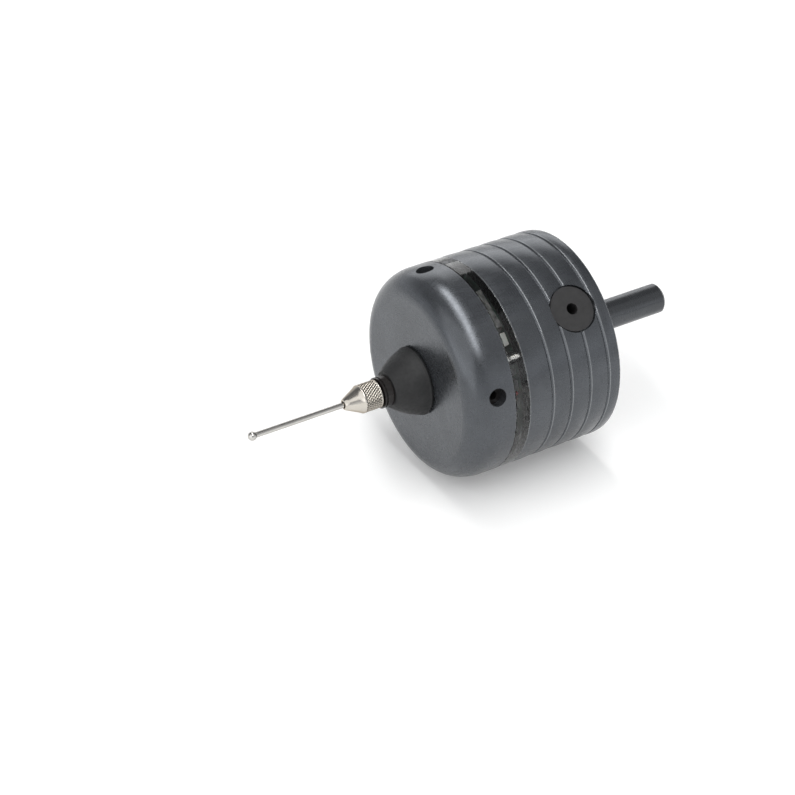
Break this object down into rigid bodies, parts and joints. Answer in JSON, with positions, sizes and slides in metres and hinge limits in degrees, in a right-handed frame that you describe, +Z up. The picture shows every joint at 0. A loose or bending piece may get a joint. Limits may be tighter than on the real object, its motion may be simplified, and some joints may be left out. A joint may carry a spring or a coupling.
{
  "type": "touch probe",
  "caption": "Spring-seated touch probe with a ball stylus, rubber boot, clear light ring, grooved housing, jack socket and plain shank.",
  "frame": {"origin": "below the middle of the probe, on the surface it lies on", "axes": "+X along the probe's axis from the stylus to the shank, +Z up, -Y the side of the jack socket"},
  "size_m": [0.1082, 0.0486, 0.0485],
  "materials": {
    "body_grey": "dark blue-grey anodised, satin",
    "shank_grey": "dark grey anodised, smooth",
    "clear_acrylic": "clear, turned edges",
    "black_steel": "blackened, glossy",
    "brass": "turned",
    "spring_steel": "drawn wire",
    "insulator": "turned, matt",
    "bright_steel": "ground and polished",
    "wire_insulation": "smooth insulation",
    "board_green": "lacquered board",
    "light_lens": "moulded lens",
    "chip_black": "moulded case",
    "chip_ends": "tinned ends",
    "black_plastic": "moulded, satin",
    "black_rubber": "moulded, matt",
    "nickel": "nickel plated, knurled grip and polished cone"
  },
  "bodies": {
    "housing": {"front_cap": "body_grey", "clear_ring": "clear_acrylic", "rear_housing": "body_grey", "case_screws": "black_steel", "centring_screws": "black_steel", "shank": "shank_grey", "shank_screws": "black_steel", "spring_seat": "brass", "contact_carrier": "insulator", "contact_balls": "bright_steel", "contact_strips": "brass", "contact_leads": "wire_insulation", "circuit_board": "board_green", "indicator_lights": "light_lens", "board_chip": "chip_black", "board_parts": "chip_ends", "jack_socket": "black_plastic", "jack_disc": "black_plastic", "jack_leads": "wire_insulation"},
    "spring": {"trigger_spring": "spring_steel"},
    "boot": {"rubber_boot": "black_rubber"},
    "stylus_unit": {"stylus_hub": "brass", "contact_pins": "bright_steel", "stylus_holder": "black_steel", "collet": "bright_steel", "stylus": "bright_steel"},
    "nut": {"collet_nut": "nickel"}
  },
  "joints": [
    {"name": "tilt_top", "type": "hinge", "parent": "housing", "child": "spring", "pos_m": [-0.00185, 0, 0.01825], "axis": [0, 1, 0], "range_deg": [0, 8], "stiffness_Nm_per_rad": 0.0216, "springref_deg": -63.6, "deforming": ["trigger_spring"]},
    {"name": "tilt_left", "type": "hinge", "parent": "spring", "child": "boot", "pos_m": [-0.00185, -0.0052, 0.02725], "axis": [0, -0.5, -0.866], "range_deg": [0, 8], "stiffness_Nm_per_rad": 0.0216, "springref_deg": -63.6, "deforming": ["rubber_boot", "trigger_spring"]},
    {"name": "tilt_right", "type": "hinge", "parent": "boot", "child": "stylus_unit", "pos_m": [-0.00185, 0.0052, 0.02725], "axis": [0, -0.5, 0.866], "range_deg": [0, 8], "stiffness_Nm_per_rad": 0.0216, "springref_deg": -63.6, "deforming": ["rubber_boot", "trigger_spring"]},
    {"name": "nut_turn", "type": "hinge", "parent": "stylus_unit", "child": "nut", "pos_m": [-0.02637, 0, 0.02425], "axis": [-1, 0, 0], "range_deg": [0, 360]}
  ]
}
